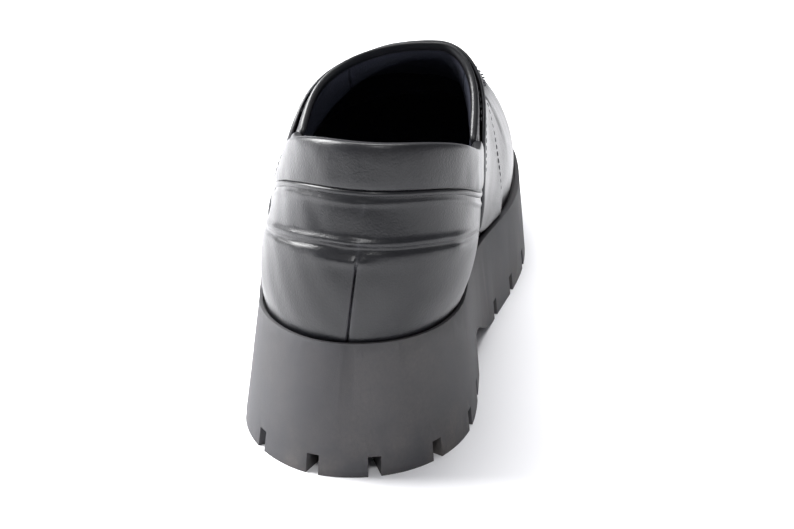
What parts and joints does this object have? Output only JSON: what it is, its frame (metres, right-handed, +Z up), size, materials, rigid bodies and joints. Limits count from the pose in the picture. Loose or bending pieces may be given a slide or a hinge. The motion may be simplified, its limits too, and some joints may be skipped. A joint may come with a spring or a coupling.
{
  "type": "penny loafer",
  "caption": "Slip-on leather loafer for the left foot, with apron toe, slotted saddle strap, padded collar and thick lugged rubber sole.",
  "frame": {"origin": "on the ground, under the middle of the sole's length and width", "axes": "+Z up from the ground, +Y from heel to toe, +X towards the big-toe side of this left shoe"},
  "size_m": [0.1028, 0.2776, 0.1151],
  "materials": {
    "upper_leather": "smooth semi-gloss",
    "lining_leather": "smooth satin",
    "grip_suede": "napped",
    "foam": "closed-cell foam",
    "fibre_board": "pressed fibre",
    "sole_rubber": "matte moulded",
    "shank_steel": "plain"
  },
  "bodies": {
    "root": {"apron": "upper_leather", "apron_lining": "lining_leather", "bottom_filler": "fibre_board", "collar_band": "upper_leather", "collar_foam": "foam", "footbed": "foam", "forefoot_core": "foam", "heel_core": "foam", "heel_counter": "fibre_board", "heel_grip": "grip_suede", "heel_pad": "foam", "insole_board": "fibre_board", "moc_seam": "upper_leather", "outsole": "sole_rubber", "quarter_lateral": "upper_leather", "quarter_lining_lateral": "lining_leather", "quarter_lining_medial": "lining_leather", "quarter_medial": "upper_leather", "saddle_strap": "upper_leather", "shank": "shank_steel", "sock_liner": "lining_leather", "toe_puff": "fibre_board", "tongue": "upper_leather", "vamp": "upper_leather", "vamp_lining": "lining_leather"}
  },
  "joints": []
}
